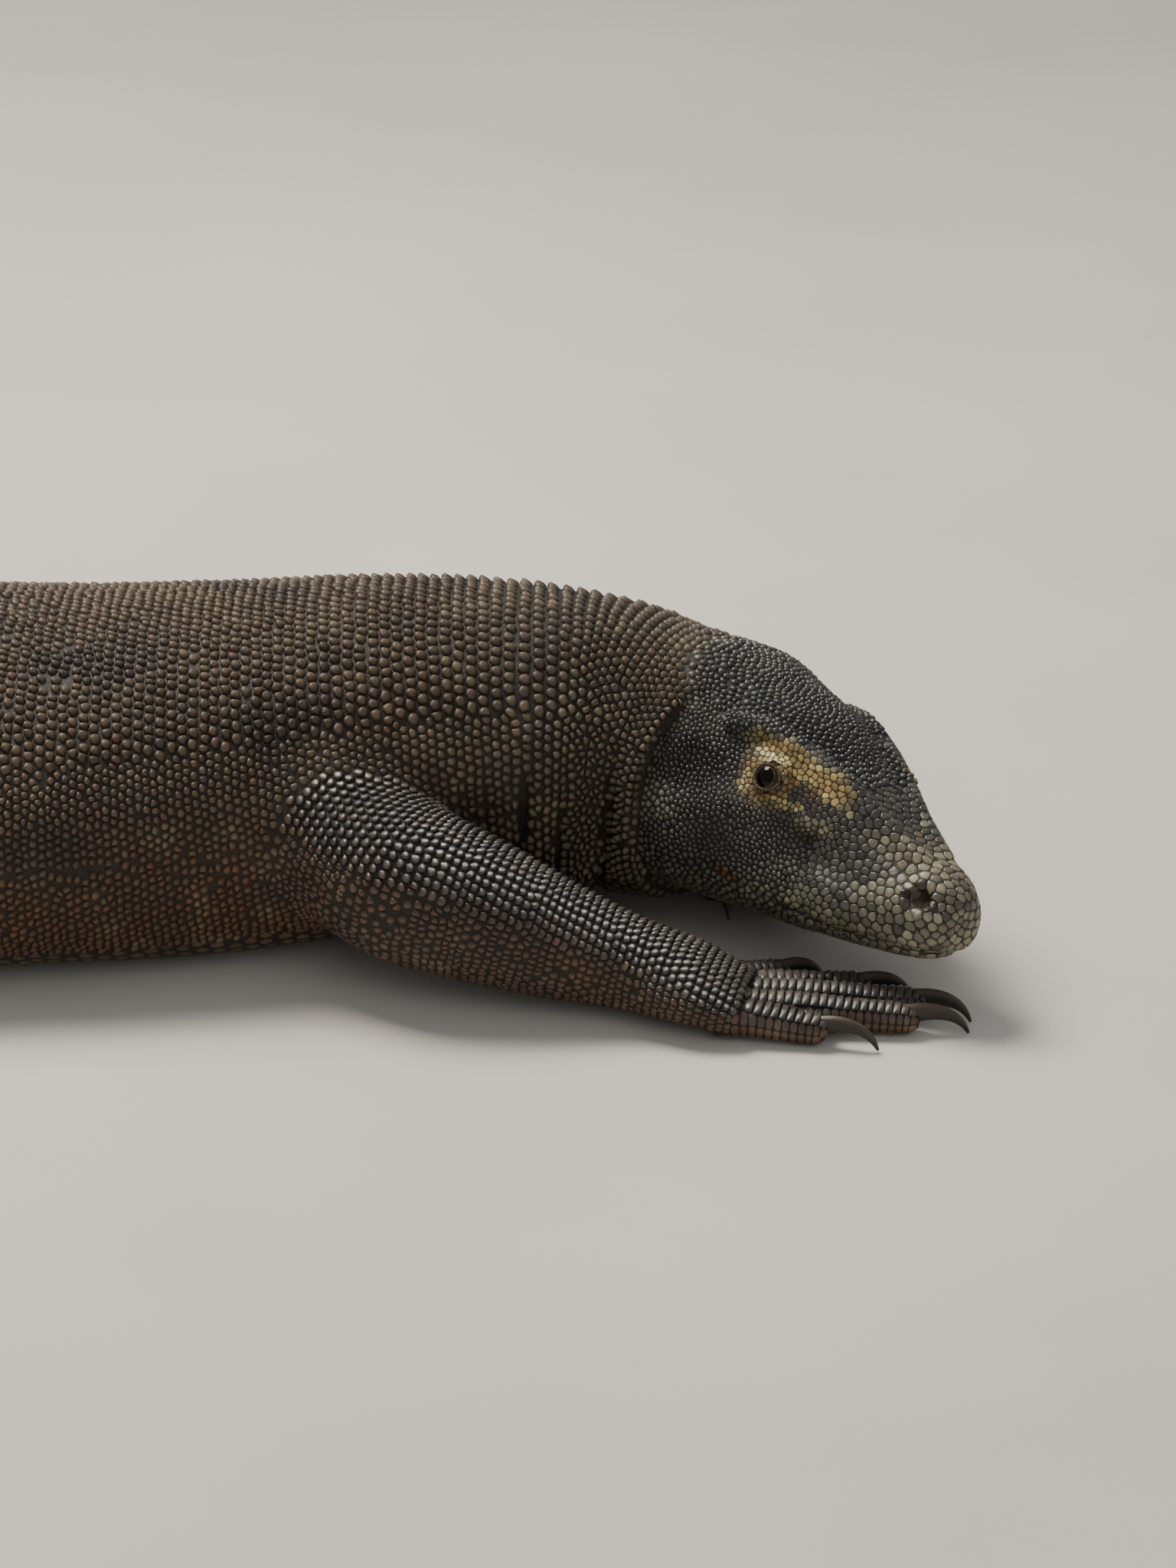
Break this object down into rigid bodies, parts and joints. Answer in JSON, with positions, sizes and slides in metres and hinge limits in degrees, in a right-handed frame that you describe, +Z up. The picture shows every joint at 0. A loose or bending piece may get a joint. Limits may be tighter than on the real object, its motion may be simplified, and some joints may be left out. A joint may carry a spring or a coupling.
{
  "type": "komodo dragon",
  "caption": "Life-size Komodo dragon model lying flat on its belly, head turned right with its chin on its right hand, long curved tail, splayed legs with hooked claws.",
  "frame": {"origin": "centre of the model's overall box, on the floor", "axes": "+X forward along the trunk, +Y to the animal's left, +Z up"},
  "size_m": [2.435, 0.8312, 0.1878],
  "materials": {
    "hide": "beaded scales, satin, dark grey-brown with tan tips",
    "limb_hide": "beaded and plated scales, satin, rusty brown with grey tops",
    "head_hide": "flat plates and beads, satin, grey-olive with ochre brow",
    "claw": "polished horn, near black",
    "eye": "wet gloss, near black with a brown ring"
  },
  "bodies": {
    "root": {"neck": "hide", "shoulders": "hide", "belly": "hide", "hips": "hide", "tail_base": "hide", "tail_front": "hide", "tail_middle": "hide", "tail_rear": "hide", "tail_tip": "hide", "upper_arm_right": "limb_hide", "forearm_right": "limb_hide", "hand_right": "limb_hide", "claw_fore_right_1": "claw", "claw_fore_right_2": "claw", "claw_fore_right_3": "claw", "claw_fore_right_4": "claw", "claw_fore_right_5": "claw", "upper_arm_left": "limb_hide", "forearm_left": "limb_hide", "hand_left": "limb_hide", "claw_fore_left_1": "claw", "claw_fore_left_2": "claw", "claw_fore_left_3": "claw", "claw_fore_left_4": "claw", "claw_fore_left_5": "claw", "thigh_right": "limb_hide", "shin_right": "limb_hide", "foot_right": "limb_hide", "claw_hind_right_1": "claw", "claw_hind_right_2": "claw", "claw_hind_right_3": "claw", "claw_hind_right_4": "claw", "claw_hind_right_5": "claw", "thigh_left": "limb_hide", "shin_left": "limb_hide", "foot_left": "limb_hide", "claw_hind_left_1": "claw", "claw_hind_left_2": "claw", "claw_hind_left_3": "claw", "claw_hind_left_4": "claw", "claw_hind_left_5": "claw", "head": "head_hide", "lower_jaw": "head_hide", "eye_left": "eye", "eye_right": "eye"}
  },
  "joints": []
}
